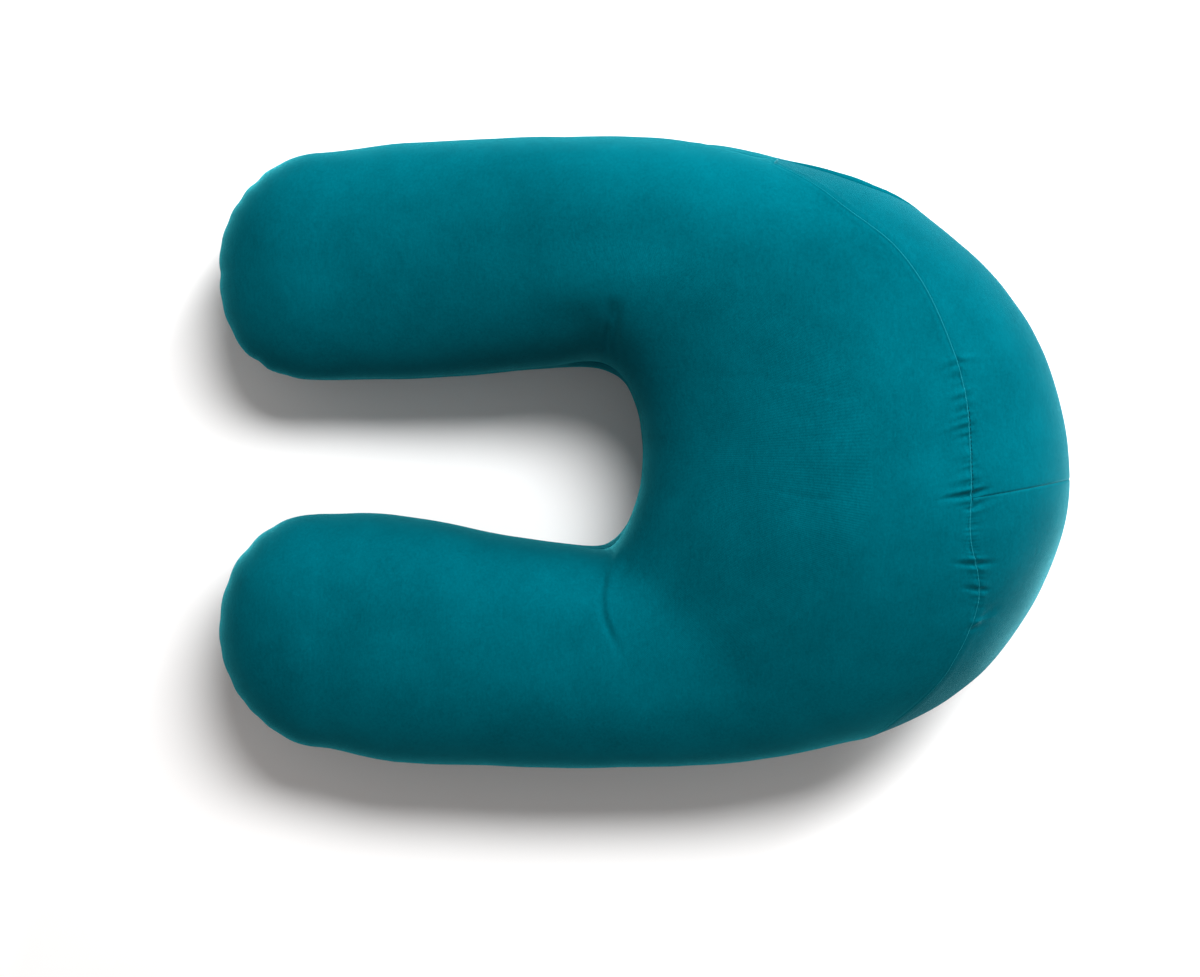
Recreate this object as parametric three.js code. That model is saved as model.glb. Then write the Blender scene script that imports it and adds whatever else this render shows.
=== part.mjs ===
// A stuffed U-shaped back support pillow, lying on its back with its opening towards -X.
// The frame: +Z up, the floor at Z = 0, the origin at the middle of the pillow's box on the floor.
import * as THREE from 'three';

// Driving dimensions, in millimetres, and angles in degrees
const CLOTH = 2.5;
const CLEARANCE = 0.3;
const RIM_SHARE = 0.46;
const BOTTOM_DEPTH = 1.1;
const ROUNDNESS = 2.3;
const TIP_REACH = { upper: 94, lower: 92.5 };
const TIP_BLUNTNESS = {
  upper: { outer: 1.95, inner: 2.45 },
  lower: { outer: 1.85, inner: 2.1 },
};
const SEAM_DRAW_IN = 3;
const SEAM_DRAW_IN_SPREAD = 6;
const FRONT_FADE = 10;
const GATHER_FALL = 1.5;
const PROUD_REACH = 30;
const FRONT_COLUMNS = 6;
const GUSSET_COLUMNS = 8;
const BACK_COLUMNS = 6;
const CROWDED_TO_SEAM = { panel: 0.8, gusset: 1.15 };
const GUSSET_START = 5.85;
const CROSS_SEAM = 11.35;
const GUSSET_END = 16;

// One row a section across the pillow, from the upper arm's tip round the back to the lower arm's.
// inner and outer are the two ends of the section on the pillow's widest line, crown its height,
// and lean how far its middle is pushed along the pillow. front and back are the angles, up from
// the widest line, of the two gusset seams, or of plain cloth where there is no gusset, and proud
// is how far the front seam stands out of the cloth's round.
const SECTIONS = table(
  ['innerX', 'innerY', 'outerX', 'outerY', 'crown', 'lean', 'front', 'back', 'proud'],
  [
    [-290, 63, -290, 271.5, 158, 0, 40, -40, 0],
    [-218, 64, -222, 279.5, 167, 0, 40, -40, 0],
    [-146, 69, -151, 281, 182, 0, 40, -40, 0],
    [-88, 74, -75, 282, 201, 0, 40, -38, 0],
    [-48, 75, -3, 281, 215, 0, 34, -28, 0],
    [-28, 70, 64, 273, 223, 0, 18, 12, 0],
    [-16, 60, 130, 258.5, 225, 0, 32, 17, 0.5],
    [-9, 45, 197, 240, 225, 3, 49, 23, 3],
    [-5, 31, 259, 203, 226, 8, 53, 3, 3.5],
    [-3, 15, 317, 149.5, 229, 16, 60, -22, 3],
    [-2, 0, 358.2, 81.2, 232, 26, 63.5, -42, -1],
    [-3, -15, 377.2, 1, 235, 33, 66, -48, -2],
    [-5, -31, 372.5, -69.3, 237, 32, 63.2, -47, -1.5],
    [-10, -48, 344.3, -138.6, 236, 22, 50.5, -40, -1],
    [-17, -65, 296, -200.5, 231, 12, 41.5, -32, 2],
    [-28, -78, 230, -243, 222, 4, 26, -26, 2],
    [-43, -84, 153, -267, 212, 0, -9, -15, 0],
    [-75, -81, 64, -281, 204, 0, 8, -26, 0],
    [-128, -73, -30, -284, 197, 0, 30, -34, 0],
    [-191, -61, -128, -283, 190, 0, 40, -40, 0],
    [-245, -54, -218, -280, 181, 0, 40, -40, 0],
    [-290, -54, -290, -267, 173, 0, 40, -40, 0],
  ],
);
const LAST = SECTIONS.length - 1;
const HALF_A_SECTION = 0.5;

// How many steps each stretch of sections is cut into: finer where cloth is gathered or creased
const STEPS = table(
  ['from', 'to', 'steps'],
  [
    [0, 3, 6],
    [3, 6, 14],
    [6, 10, 16],
    [10, 15, 45],
    [15, 18, 14],
    [18, 21, 6],
  ],
);

// Tucks where the seam draws the cloth in round each arm's tip, by their angle about the middle of
// the arm: 0 is the outer side and 180 the inner side
const TUCKS = table(
  ['tip', 'angle', 'depth'],
  [
    ['upper', 16, 0.5],
    ['upper', 37, 2.2],
    ['upper', 51, 1.4],
    ['upper', 65, 1.0],
    ['upper', 94, 1.8],
    ['upper', 126, 1.2],
    ['upper', 148, 2.4],
    ['upper', 166, 0.8],
    ['lower', 14, 0.5],
    ['lower', 28, 1.6],
    ['lower', 55, 1.6],
    ['lower', 77, 1.2],
    ['lower', 97, 0.8],
    ['lower', 116, 1.4],
    ['lower', 140, 2.0],
    ['lower', 162, 0.6],
  ],
);
const TUCK_SPREAD = 24;

// Gathers along the gusset's front seam: where each crosses the seam, how far it runs into the
// front panel and into the gusset, and its height, below zero for a trough
const GATHERS = table(
  ['seamY', 'panelReach', 'gussetReach', 'height', 'halfWidth'],
  [
    [77, 34, 50, 2.4, 5],
    [62, 26, 14, -1.6, 5],
    [49, 30, 16, 2.0, 5],
    [34, 28, 12, -1.8, 5],
    [22, 46, 14, 1.8, 5],
    [9, 26, 12, -1.6, 5],
    [-4, 26, 10, 1.6, 5],
    [-15, 22, 10, -1.4, 5],
    [-25, 36, 18, 2.0, 5],
    [-38, 40, 34, -3.4, 5],
    [-48, 22, 40, 2.4, 5],
    [-66, 16, 26, 1.4, 6],
    [-82, 16, 16, -1.2, 6],
    [-97, 30, 26, -2.8, 5],
    [-107, 22, 14, 1.8, 5],
    [-119, 24, 12, -2.6, 5],
    [-133, 16, 16, 1.4, 6],
    [-147, 14, 34, 2.0, 6],
  ],
);

// Hollows and creases pressed into the front where the arms turn in to the back
const CREASES = table(
  ['startX', 'startY', 'endX', 'endY', 'depth', 'halfWidth'],
  [
    [-58, 104, -44, 78, 6, 24],
    [-26, 132, -37, 82, 4, 7],
    [-20, 118, -28, 76, 3, 6],
    [-38, -104, -34, -78, 5, 20],
    [-38, -116, -26, -168, 3.5, 7],
  ],
);

// Broad hollows of the front, and with a depth below zero broad rises
const HOLLOWS = table(
  ['x', 'y', 'depth', 'halfWidth'],
  [
    [25, -155, 20, 120],
    [255, -80, -14, 120],
    [50, 75, 9, 70],
    [-45, 125, -8, 45],
  ],
);
const HOLLOWS_FULL_ABOVE = 50;

const TEAL = 0x0a6f80;
const TEAL_GUSSET = 0x1b8695;

// A list of rows with named columns
function table(columns, rows) {
  return rows.map((row) => Object.fromEntries(columns.map((name, k) => [name, row[k]])));
}

// A table's column as a smooth value between its rows. At both ends of the table all but the
// places along X are level, so that each tip carries them on without a kink.
function between(column, u) {
  const k = Math.min(Math.max(Math.floor(u), 0), LAST - 1);
  const row = (n) => {
    const inside = Math.min(Math.max(n, 0), LAST);
    return SECTIONS[column.endsWith('X') ? inside : 2 * inside - n][column];
  };
  const [a, b, c, d] = [row(k - 1), row(k), row(k + 1), row(k + 2)];
  const t = u - k;
  const slopeB = (c - a) / 2;
  const slopeC = (d - b) / 2;
  return b + t * (slopeB + t * (3 * (c - b) - 2 * slopeB - slopeC + t * (2 * (b - c) + slopeB + slopeC)));
}

// The section numbers at which the pillow is cut
function stations() {
  const list = [0];
  for (const { from, to, steps } of STEPS) {
    for (let k = 1; k <= steps; k += 1) list.push(from + ((to - from) * k) / steps);
  }
  return list.map((u) => snap(snap(snap(u, GUSSET_START), CROSS_SEAM), GUSSET_END));
}

// A section number moved onto a gusset end or the cross seam where it is the nearest one
function snap(u, target) {
  const step = STEPS.find(({ from, to }) => target >= from && target <= to);
  return Math.abs(u - target) <= (step.to - step.from) / step.steps / 2 ? target : u;
}

// The middle of the section, where the pillow is highest
function spineAt(u) {
  const middle = (v) => new THREE.Vector2(
    (between('innerX', v) + between('outerX', v)) / 2,
    (between('innerY', v) + between('outerY', v)) / 2,
  );
  const before = middle(Math.max(u - HALF_A_SECTION, 0));
  const after = middle(Math.min(u + HALF_A_SECTION, LAST));
  const along = after.sub(before).normalize();
  return middle(u).addScaledVector(along, between('lean', u));
}

// Half a section: a rib from the spine to the widest line
function sideRib(u, side) {
  const edge = new THREE.Vector2(between(`${side}X`, u), between(`${side}Y`, u));
  const outer = side === 'outer';
  return {
    root: spineAt(u),
    edge,
    crown: between('crown', u),
    front: outer ? between('front', u) : SECTIONS[0].front,
    back: outer ? between('back', u) : SECTIONS[0].back,
    inGusset: outer && u >= GUSSET_START && u <= GUSSET_END,
    proud: outer ? between('proud', u) : 0,
    tuck: 0,
  };
}

// The ribs that fan out round an arm's tip, from its outer side to its inner side
function tipRibs(tip) {
  const u = tip === 'upper' ? 0 : LAST;
  const root = spineAt(u);
  const half = sideRib(u, 'outer').edge.distanceTo(root);
  const across = tip === 'upper' ? 1 : -1;
  const tucks = TUCKS.filter((row) => row.tip === tip);
  const angles = tucks.flatMap((row, k) => {
    const next = tucks[k + 1];
    return next ? [row.angle, (row.angle + next.angle) / 2] : [row.angle];
  });
  return angles.map((angle) => {
    const turn = THREE.MathUtils.degToRad(angle);
    const power = TIP_BLUNTNESS[tip][angle < 90 ? 'outer' : 'inner'];
    const alongArm = Math.sin(turn) / TIP_REACH[tip];
    const acrossArm = Math.cos(turn) / half;
    const radius = (Math.abs(alongArm) ** power + Math.abs(acrossArm) ** power) ** (-1 / power);
    const tuck = tucks.find((row) => row.angle === angle);
    return {
      root,
      edge: new THREE.Vector2(-radius * Math.sin(turn), across * radius * Math.cos(turn)).add(root),
      crown: between('crown', u),
      front: SECTIONS[0].front,
      back: SECTIONS[0].back,
      inGusset: false,
      proud: 0,
      tuck: tuck ? tuck.depth : 0,
    };
  });
}

// All ribs in order round the pillow, each with the number of its spine point
function allRibs() {
  const list = stations();
  const outer = list.map((u, k) => ({ ...sideRib(u, 'outer'), spine: k, u }));
  const inner = list.map((u, k) => ({ ...sideRib(u, 'inner'), spine: k, u }));
  const lowerTip = tipRibs('lower').map((rib) => ({ ...rib, spine: list.length - 1, u: LAST }));
  const upperTip = tipRibs('upper').map((rib) => ({ ...rib, spine: 0, u: 0 }));
  return [...outer, ...lowerTip, ...inner.reverse(), ...upperTip.reverse()];
}

// The fat oval that the pillow follows from its widest line (0) to its spine (90, or -90 below)
function ribPoint(rib, angle) {
  const turn = THREE.MathUtils.degToRad(angle);
  const out = Math.max(Math.cos(turn), 0) ** (2 / ROUNDNESS);
  const up = Math.sign(turn) * Math.abs(Math.sin(turn)) ** (2 / ROUNDNESS);
  const rim = rib.crown * RIM_SHARE;
  const height = rim + up * (up > 0 ? rib.crown - rim : rim * BOTTOM_DEPTH);
  const plan = rib.root.clone().lerp(rib.edge, out);
  return new THREE.Vector3(plan.x, plan.y, height);
}

function bell(distance, halfWidth) {
  return Math.exp(-((distance / halfWidth) ** 2));
}

// How far the seam between the panels draws the cloth in, deeper at a tuck
function drawIn(rib, angle) {
  if (rib.inGusset) return 0;
  const off = angle - (rib.front + rib.back) / 2;
  return SEAM_DRAW_IN * bell(off, SEAM_DRAW_IN_SPREAD) + rib.tuck * bell(off, TUCK_SPREAD);
}

// The height of the gathers at a point that lies on a rib which crosses the gusset's front seam,
// and of the seam itself
function gathered(rib, angle, point) {
  if (!rib.inGusset) return 0;
  const onSeam = ribPoint(rib, rib.front);
  const fromSeam = point.distanceTo(onSeam);
  const proud = rib.proud * Math.exp(-fromSeam / PROUD_REACH);
  return GATHERS.reduce((sum, row) => {
    const reach = angle > rib.front ? row.panelReach : row.gussetReach;
    const fade = Math.max(1 - fromSeam / reach, 0) ** GATHER_FALL;
    return sum + row.height * fade * bell(onSeam.y - row.seamY, row.halfWidth);
  }, proud);
}

// The depth of the creases at a point on the front
function creased(point) {
  const here = new THREE.Vector3(point.x, point.y, 0);
  return CREASES.reduce((sum, row) => {
    const line = new THREE.Line3(
      new THREE.Vector3(row.startX, row.startY, 0),
      new THREE.Vector3(row.endX, row.endY, 0),
    );
    const nearest = line.closestPointToPoint(here, true, new THREE.Vector3());
    return sum + row.depth * bell(nearest.distanceTo(here), row.halfWidth);
  }, 0);
}

// The depth of the broad hollows at a point, which fade out towards the widest line
function hollowed(point, angle) {
  const depth = HOLLOWS.reduce((sum, row) => {
    const away = Math.hypot(point.x - row.x, point.y - row.y);
    return sum + row.depth * bell(away, row.halfWidth);
  }, 0);
  return depth * THREE.MathUtils.smoothstep(angle, 0, HOLLOWS_FULL_ABOVE);
}

// A point of the pillow's surface, with its gathers, creases and seams, flat where it lies
function surfacePoint(rib, angle) {
  const point = ribPoint(rib, angle);
  const out = rib.edge.clone().sub(rib.root).normalize();
  const turn = THREE.MathUtils.degToRad(angle);
  const outward = new THREE.Vector3(out.x * Math.cos(turn), out.y * Math.cos(turn), Math.sin(turn));
  const onFront = THREE.MathUtils.smoothstep(angle, -FRONT_FADE, FRONT_FADE);
  const move = gathered(rib, angle, point) - drawIn(rib, angle) - onFront * creased(point);
  point.addScaledVector(outward, move);
  point.z = Math.max(point.z - hollowed(point, angle), 0);
  return point;
}

// The angles of a rib's points, from the spine above, by way of both seams, to the spine below
function ribAngles(rib) {
  const stretch = (from, to, count, power) => Array.from(
    { length: count },
    (_, k) => from + (to - from) * (k / count) ** power,
  );
  return [
    ...stretch(90, rib.front, FRONT_COLUMNS, CROWDED_TO_SEAM.panel),
    ...stretch(rib.front, rib.back, GUSSET_COLUMNS, rib.inGusset ? CROWDED_TO_SEAM.gusset : 1),
    ...stretch(rib.back, -90, BACK_COLUMNS, 1),
    -90,
  ];
}

// The grid of surface points, one list a rib, and the outward direction at each of them
function pillowGrid() {
  const ribs = allRibs();
  const points = ribs.map((rib) => ribAngles(rib).map((angle) => surfacePoint(rib, angle)));
  const normals = points.map((list, i) => list.map((_, j) => {
    const before = points[(i + ribs.length - 1) % ribs.length];
    const after = points[(i + 1) % ribs.length];
    const alongRow = after[j].clone().sub(before[j]);
    const down = list[Math.min(j + 1, list.length - 1)].clone().sub(list[Math.max(j - 1, 0)]);
    return alongRow.cross(down).normalize();
  }));
  return { ribs, points, normals };
}

// Gathers corners and faces, and gives them back as one mesh geometry
class Skin {
  constructor() {
    this.corners = [];
    this.numbers = new Map();
    this.faces = [];
  }

  corner(name, point) {
    if (!this.numbers.has(name)) {
      this.numbers.set(name, this.corners.length / 3);
      this.corners.push(point.x, point.y, point.z);
    }
    return this.numbers.get(name);
  }

  triangle(a, b, c) {
    if (a !== b && b !== c && c !== a) this.faces.push(a, b, c);
  }

  // Four corners, clockwise seen from outside
  quad(a, b, c, d) {
    this.triangle(a, c, b);
    this.triangle(a, d, c);
  }

  geometry() {
    const geometry = new THREE.BufferGeometry();
    geometry.setAttribute('position', new THREE.Float32BufferAttribute(this.corners, 3));
    geometry.setIndex(this.faces);
    geometry.computeVertexNormals();
    return geometry;
  }
}

// The ribs and columns that the gusset covers
function gussetPatch({ ribs }) {
  const covered = ribs.map((rib, i) => (rib.inGusset ? i : -1)).filter((i) => i >= 0);
  return {
    first: covered[0],
    last: covered[covered.length - 1],
    cross: covered.find((i) => ribs[i].u >= CROSS_SEAM),
    top: FRONT_COLUMNS,
    bottom: FRONT_COLUMNS + GUSSET_COLUMNS,
  };
}

// The filled pillow with its front and back panels, let in by a cloth's thickness at the gusset
function bodyGeometry(grid) {
  const { ribs, points, normals } = grid;
  const patch = gussetPatch(grid);
  const skin = new Skin();
  const lastColumn = points[0].length - 1;
  const inPatch = (i, j) => i >= patch.first && i < patch.last && j >= patch.top && j < patch.bottom;
  const surface = (i, j) => {
    if (j === 0) return skin.corner(`top ${ribs[i].spine}`, points[i][j]);
    if (j === lastColumn) return skin.corner(`bottom ${ribs[i].spine}`, points[i][j]);
    return skin.corner(`surface ${i} ${j}`, points[i][j]);
  };
  const recess = (i, j) => skin.corner(
    `recess ${i} ${j}`,
    points[i][j].clone().addScaledVector(normals[i][j], -(CLOTH + CLEARANCE)),
  );
  for (let i = 0; i < ribs.length; i += 1) {
    const next = (i + 1) % ribs.length;
    for (let j = 0; j < lastColumn; j += 1) {
      const at = inPatch(i, j) ? recess : surface;
      skin.quad(at(i, j), at(i, j + 1), at(next, j + 1), at(next, j));
    }
  }
  for (let i = patch.first; i < patch.last; i += 1) {
    const [top, bottom] = [patch.top, patch.bottom];
    skin.quad(surface(i, top), recess(i, top), recess(i + 1, top), surface(i + 1, top));
    skin.quad(recess(i, bottom), surface(i, bottom), surface(i + 1, bottom), recess(i + 1, bottom));
  }
  for (let j = patch.top; j < patch.bottom; j += 1) {
    const [first, last] = [patch.first, patch.last];
    skin.quad(recess(first, j), surface(first, j), surface(first, j + 1), recess(first, j + 1));
    skin.quad(recess(last, j), recess(last, j + 1), surface(last, j + 1), surface(last, j));
  }
  return skin.geometry();
}

// One gusset piece between two ribs, flush with the panels and clear of them at its edges
function gussetGeometry(grid, from, to, endGaps) {
  const { points, normals } = grid;
  const { top, bottom } = gussetPatch(grid);
  const skin = new Skin();
  const drawn = (i, j) => {
    const inwards = (point, k, l, gap) => {
      const direction = points[k][l].clone().sub(points[i][j]).normalize();
      point.addScaledVector(direction, gap);
    };
    const point = points[i][j].clone();
    if (i === from) inwards(point, i + 1, j, endGaps[0]);
    if (i === to) inwards(point, i - 1, j, endGaps[1]);
    if (j === top) inwards(point, i, j + 1, CLEARANCE);
    if (j === bottom) inwards(point, i, j - 1, CLEARANCE);
    return point;
  };
  const outside = (i, j) => skin.corner(`outside ${i} ${j}`, drawn(i, j));
  const inside = (i, j) => skin.corner(
    `inside ${i} ${j}`,
    drawn(i, j).addScaledVector(normals[i][j], -CLOTH),
  );
  for (let i = from; i < to; i += 1) {
    for (let j = top; j < bottom; j += 1) {
      skin.quad(outside(i, j), outside(i, j + 1), outside(i + 1, j + 1), outside(i + 1, j));
      skin.quad(inside(i, j), inside(i + 1, j), inside(i + 1, j + 1), inside(i, j + 1));
    }
    skin.quad(outside(i, top), outside(i + 1, top), inside(i + 1, top), inside(i, top));
    skin.quad(inside(i, bottom), inside(i + 1, bottom), outside(i + 1, bottom), outside(i, bottom));
  }
  for (let j = top; j < bottom; j += 1) {
    skin.quad(inside(from, j), inside(from, j + 1), outside(from, j + 1), outside(from, j));
    skin.quad(inside(to, j), outside(to, j), outside(to, j + 1), inside(to, j + 1));
  }
  return skin.geometry();
}

function clothMaterial(color) {
  return new THREE.MeshStandardMaterial({ color, roughness: 0.85, metalness: 0 });
}

function piece(name, geometry, color) {
  const mesh = new THREE.Mesh(geometry, clothMaterial(color));
  mesh.name = name;
  return mesh;
}

function pillow() {
  const group = new THREE.Group();
  const grid = pillowGrid();
  const { first, cross, last } = gussetPatch(grid);
  group.add(piece('pillow_body', bodyGeometry(grid), TEAL));
  const upper = gussetGeometry(grid, first, cross, [CLEARANCE, CLEARANCE / 2]);
  const lower = gussetGeometry(grid, cross, last, [CLEARANCE / 2, CLEARANCE]);
  group.add(piece('gusset_upper', upper, TEAL_GUSSET));
  group.add(piece('gusset_lower', lower, TEAL_GUSSET));
  const middle = new THREE.Box3().setFromObject(group).getCenter(new THREE.Vector3());
  group.position.set(-middle.x, -middle.y, 0);
  return group;
}

export default pillow();
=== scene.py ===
import math

import bpy
import numpy as np
from mathutils import Matrix, Vector


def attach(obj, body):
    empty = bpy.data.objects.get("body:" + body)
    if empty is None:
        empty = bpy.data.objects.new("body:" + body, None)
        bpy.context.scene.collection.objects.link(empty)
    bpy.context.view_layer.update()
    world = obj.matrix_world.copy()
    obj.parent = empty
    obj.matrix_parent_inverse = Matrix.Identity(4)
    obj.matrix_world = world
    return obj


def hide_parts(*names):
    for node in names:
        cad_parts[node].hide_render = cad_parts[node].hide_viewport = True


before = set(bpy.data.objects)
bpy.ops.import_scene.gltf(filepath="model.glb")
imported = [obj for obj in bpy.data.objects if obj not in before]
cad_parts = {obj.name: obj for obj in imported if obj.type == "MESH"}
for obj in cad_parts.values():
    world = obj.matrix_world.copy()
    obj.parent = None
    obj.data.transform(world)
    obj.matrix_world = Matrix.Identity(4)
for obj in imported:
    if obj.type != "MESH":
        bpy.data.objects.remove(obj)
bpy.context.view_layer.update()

MM = 0.001
TINY = 1e-9

# The pillow's shape, as in its solids
ORIGIN = (-1.47, -1.06)
RIM_SHARE = 0.46
BOTTOM_DEPTH = 1.1
ROUNDNESS = 2.3
TIP_REACH = {"upper": 94, "lower": 92.5}
TIP_BLUNTNESS = {"upper": {"outer": 1.95, "inner": 2.45}, "lower": {"outer": 1.85, "inner": 2.1}}
GUSSET_START = 5.85
CROSS_SEAM = 11.35
GUSSET_END = 16.0


def table(columns, rows):
    """A list of rows with named columns."""
    return [dict(zip(columns.split(), row)) for row in rows]


# One row a section across the pillow, from the upper arm's tip round the back to the lower arm's.
# inner and outer are its ends on the widest line, crown its height, and lean how far its middle is
# pushed along the pillow. front and back are the angles of the gusset's seams above the widest
# line, and proud is how far its front seam stands out of the cloth's round.
SECTIONS = table(
    "innerX innerY outerX outerY crown lean front back proud",
    [
        (-290, 63, -290, 271.5, 158, 0, 40, -40, 0),
        (-218, 64, -222, 279.5, 167, 0, 40, -40, 0),
        (-146, 69, -151, 281, 182, 0, 40, -40, 0),
        (-88, 74, -75, 282, 201, 0, 40, -38, 0),
        (-48, 75, -3, 281, 215, 0, 34, -28, 0),
        (-28, 70, 64, 273, 223, 0, 18, 12, 0),
        (-16, 60, 130, 258.5, 225, 0, 32, 17, 0.5),
        (-9, 45, 197, 240, 225, 3, 49, 23, 3),
        (-5, 31, 259, 203, 226, 8, 53, 3, 3.5),
        (-3, 15, 317, 149.5, 229, 16, 60, -22, 3),
        (-2, 0, 358.2, 81.2, 232, 26, 63.5, -42, -1),
        (-3, -15, 377.2, 1, 235, 33, 66, -48, -2),
        (-5, -31, 372.5, -69.3, 237, 32, 63.2, -47, -1.5),
        (-10, -48, 344.3, -138.6, 236, 22, 50.5, -40, -1),
        (-17, -65, 296, -200.5, 231, 12, 41.5, -32, 2),
        (-28, -78, 230, -243, 222, 4, 26, -26, 2),
        (-43, -84, 153, -267, 212, 0, -9, -15, 0),
        (-75, -81, 64, -281, 204, 0, 8, -26, 0),
        (-128, -73, -30, -284, 197, 0, 30, -34, 0),
        (-191, -61, -128, -283, 190, 0, 40, -40, 0),
        (-245, -54, -218, -280, 181, 0, 40, -40, 0),
        (-290, -54, -290, -267, 173, 0, 40, -40, 0),
    ],
)
LAST = len(SECTIONS) - 1

# How many steps each stretch of sections is cut into
STEPS = table(
    "start end steps",
    [(0, 3, 16), (3, 6, 62), (6, 9, 30), (9, 14, 270), (14, 15, 14), (15, 18, 72), (18, 21, 16)],
)
PANEL_COLUMNS = 30
GUSSET_COLUMNS = 40
BACK_COLUMNS = 14
FRONT_SEAM = PANEL_COLUMNS
BACK_SEAM = PANEL_COLUMNS + GUSSET_COLUMNS
MIDDLE = PANEL_COLUMNS + GUSSET_COLUMNS // 2
TIP_RIBS = 64
CROWDING = 2.5
HALF_A_SECTION = 0.5

# How far beyond the gusset's ends, in sections, the change to the panels' own seam is done: for
# the crowding of the points and for the drawing in of the cloth
CHANGE_OVER = {"crowding": 0.6, "drawing_in": 0.35}

# Tucks where the seam draws the cloth in round each tip: 0 is the arm's outer side, 180 its inner
TUCKS = table(
    "tip angle depth width",
    [
        ("upper", 24, 0.9, 5), ("upper", 37, 2.4, 4), ("upper", 51, 1.4, 4), ("upper", 65, 1.0, 4),
        ("upper", 79, 0.7, 3), ("upper", 95, 1.8, 4), ("upper", 110, 0.7, 4), ("upper", 126, 1.3, 5),
        ("upper", 147, 2.6, 4), ("upper", 160, 1.2, 4),
        ("lower", 22, 0.8, 5), ("lower", 34, 1.3, 4), ("lower", 47, 1.0, 4), ("lower", 62, 1.3, 5),
        ("lower", 80, 0.9, 4), ("lower", 98, 0.8, 4), ("lower", 118, 1.2, 5), ("lower", 139, 1.8, 5),
        ("lower", 155, 1.0, 4),
    ],
)
TUCK_SPREAD = 26
SEAM_DRAW_IN = 3
SEAM_DRAW_IN_REACH = 13

# Gathers along the gusset's front seam, by where they cross it; a height below zero is a trough,
# and slant is how they climb across the gusset, in mm a mm
GATHERS = table(
    "seamY panel gusset height width slant",
    [
        (77.1, 26, 46, 1.6, 2.8, -0.30), (68.6, 22, 8, 1.1, 2.6, 0), (62.0, 16, 10, -1.2, 3.0, 0),
        (55.1, 20, 8, -1.0, 2.4, 0), (49.2, 24, 10, 1.4, 2.5, 0), (44.9, 22, 6, -1.1, 2.0, 0),
        (40.4, 14, 8, 1.0, 2.0, 0), (34.8, 22, 8, -1.4, 2.4, 0), (31.2, 18, 6, 0.9, 1.8, 0),
        (28.1, 20, 6, -1.0, 2.0, 0), (23.9, 38, 8, 1.5, 2.2, 0), (19.7, 22, 6, -1.3, 2.0, 0),
        (15.9, 20, 6, 1.0, 2.0, 0), (12.1, 20, 6, -1.2, 2.2, 0), (4.5, 18, 6, -0.9, 2.4, 0),
        (-3.1, 20, 6, 1.0, 2.6, 0), (-10.7, 18, 6, -1.0, 2.4, 0), (-16.6, 18, 8, -1.4, 2.0, 0),
        (-23.4, 30, 10, 1.6, 2.6, 0), (-29.5, 18, 8, -0.7, 1.8, 0), (-33.4, 34, 16, 1.8, 2.2, 0.1),
        (-37.6, 36, 22, -3.6, 2.1, 0.1), (-42.6, 26, 14, 1.5, 2.2, 0.2),
        (-50.0, 8, 34, -2.0, 2.4, 0.33), (-54.6, 6, 30, 1.2, 2.4, 0.33), (-64.8, 8, 16, -1.1, 2.2, 0.1),
        (-74.0, 10, 12, 0.7, 3.0, 0), (-84.0, 12, 10, -0.7, 3.0, 0), (-92.4, 22, 16, 1.3, 2.4, 0),
        (-96.8, 26, 22, -2.7, 2.0, 0.08), (-101.6, 20, 14, 1.2, 2.2, 0), (-114.4, 16, 10, 1.1, 2.2, 0),
        (-118.8, 22, 12, -2.5, 1.9, 0.06), (-123.6, 16, 10, 1.1, 2.2, 0), (-135.0, 10, 12, -0.7, 3.0, 0.2),
        (-147.5, 6, 28, 1.7, 2.6, 0.4), (-153.5, 6, 20, -1.1, 2.6, 0.4),
    ],
)

# Creases of the front: the points that each runs through, its depth, below zero for a ridge, and
# its width. Those wider than a dip's width are dips, which don't fade towards their ends.
CREASES = [
    {"route": [(-58, 106), (-46, 92), (-42, 80)], "depth": 6.0, "width": 24},
    {"route": [(-26.9, 131), (-31.5, 115), (-34.2, 101), (-35.8, 91), (-36.4, 80)],
     "depth": 3.4, "width": 4.6},
    {"route": [(-20, 129), (-24.5, 115), (-27.1, 100), (-27.4, 88), (-25.5, 79)],
     "depth": 2.4, "width": 3.8},
    {"route": [(-31.5, 112), (-31.2, 100), (-31.4, 86)], "depth": -1.2, "width": 3.0},
    {"route": [(-37, -84), (-35, -98), (-37, -112)], "depth": 5.0, "width": 18},
    {"route": [(-20, -80), (-26.5, -95), (-30.6, -109), (-30.5, -121)], "depth": -1.6, "width": 4.5},
    {"route": [(-37.5, -92), (-38.5, -106), (-38.9, -122), (-37.2, -138), (-33.5, -151),
               (-28, -163), (-22, -176)],
     "depth": 1.9, "width": 3.2},
    {"route": [(-33, -110), (-33.6, -126), (-31.6, -140), (-27, -154)], "depth": -0.9, "width": 3.0},
    {"route": [(282, -150), (292, -141), (302, -131)], "depth": 1.0, "width": 3.0},
    {"route": [(60, 66), (110, 58), (170, 52)], "depth": 0.35, "width": 3.2},
    {"route": [(120, 50), (165, 43), (215, 40)], "depth": 0.35, "width": 2.8},
    {"route": [(90, -30), (130, -40), (170, -44)], "depth": 0.3, "width": 3.0},
    {"route": [(-120, 246), (-60, 252), (10, 250)], "depth": 0.5, "width": 7},
]
DIP_WIDTH = 15

# Where creases fade in: from both ends, in shares of the route, and from the widest line upwards
CREASE_FADES = {"start": (-0.02, 0.3), "end": (-0.15, 0.3), "angles": (-10, 10)}

# Broad hollows of the front, and below zero a broad rise
HOLLOWS = table(
    "x y depth width",
    [(25, -155, 20, 120), (255, -80, -14, 120), (50, 75, 9, 70), (-45, 125, -8, 45)],
)
HOLLOW_ANGLES = (0, 50)

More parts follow.
